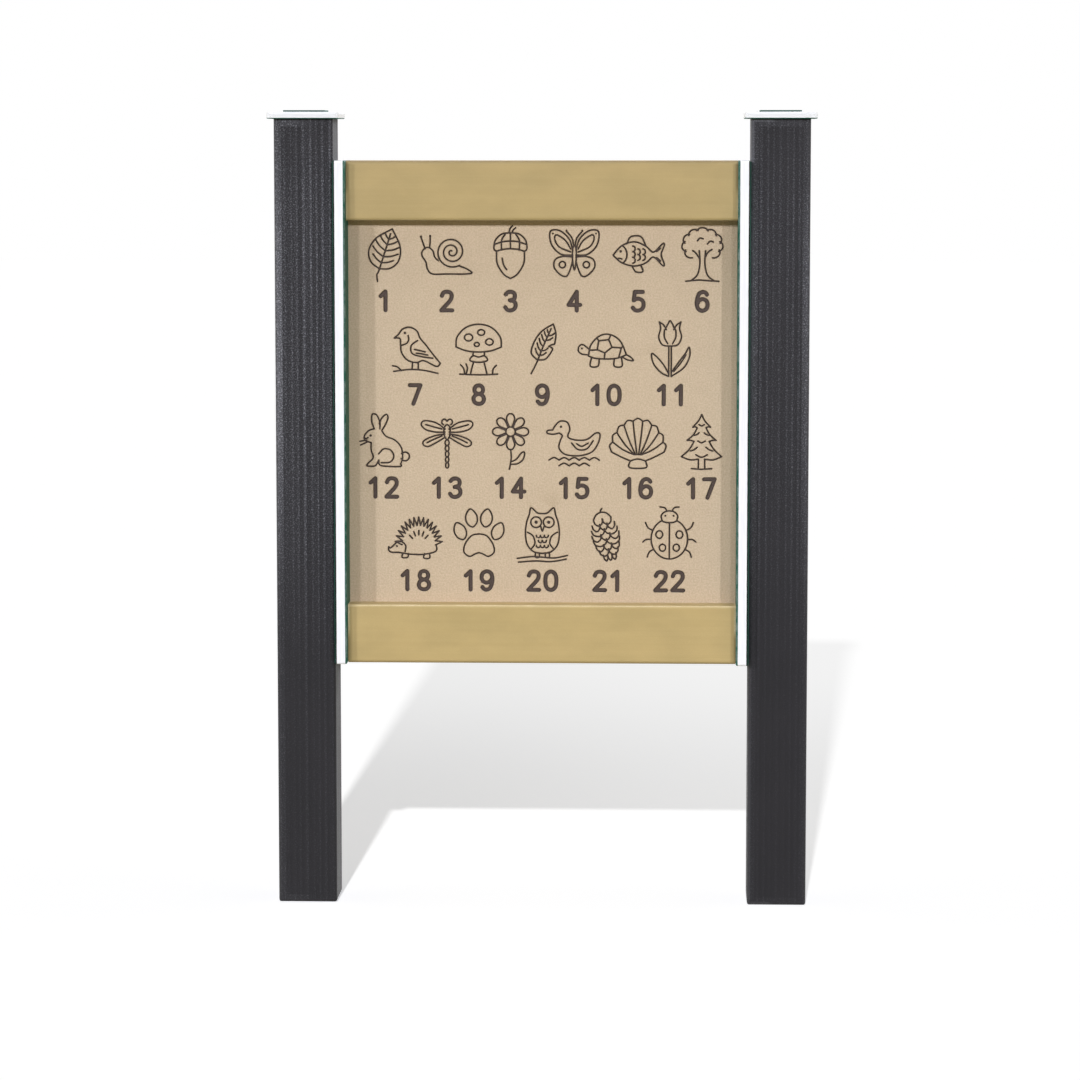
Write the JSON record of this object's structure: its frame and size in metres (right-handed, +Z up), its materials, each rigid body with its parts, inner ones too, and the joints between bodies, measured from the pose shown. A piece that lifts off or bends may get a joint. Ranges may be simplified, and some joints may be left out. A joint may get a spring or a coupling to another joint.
{
  "type": "information panel",
  "caption": "Free-standing outdoor information panel: a routed sign board in a frame of rails and side boards, hung between two capped square posts.",
  "frame": {"origin": "on the ground, midway between the two posts and midway between front and back", "axes": "+X to the right as seen from the front, +Y from the front to the back, +Z up"},
  "size_m": [0.8192, 0.127, 1.1977],
  "materials": {
    "post_lumber": "charcoal recycled-plastic lumber with drawn streaks along its length",
    "green_sheet": "three-layer sheet, green skins over a white core that shows at every routed edge",
    "rail_lumber": "satin tan plastic lumber with faint mottling",
    "sign_sheet": "pebbled beige skin over a brown core that shows in the routed lines",
    "fastener_steel": "plain stainless steel"
  },
  "bodies": {
    "root": {"left_post": "post_lumber", "right_post": "post_lumber", "left_cap": "green_sheet", "right_cap": "green_sheet", "left_cheek": "green_sheet", "right_cheek": "green_sheet", "top_rail": "rail_lumber", "bottom_rail": "rail_lumber", "sign_panel": "sign_sheet", "upper_left_lag_screws": "fastener_steel", "upper_left_lag_washers": "fastener_steel", "upper_left_cheek_screws": "fastener_steel", "upper_right_lag_screws": "fastener_steel", "upper_right_lag_washers": "fastener_steel", "upper_right_cheek_screws": "fastener_steel", "lower_left_lag_screws": "fastener_steel", "lower_left_lag_washers": "fastener_steel", "lower_left_cheek_screws": "fastener_steel", "lower_right_lag_screws": "fastener_steel", "lower_right_lag_washers": "fastener_steel", "lower_right_cheek_screws": "fastener_steel", "left_cap_screws": "fastener_steel", "right_cap_screws": "fastener_steel"}
  },
  "joints": []
}
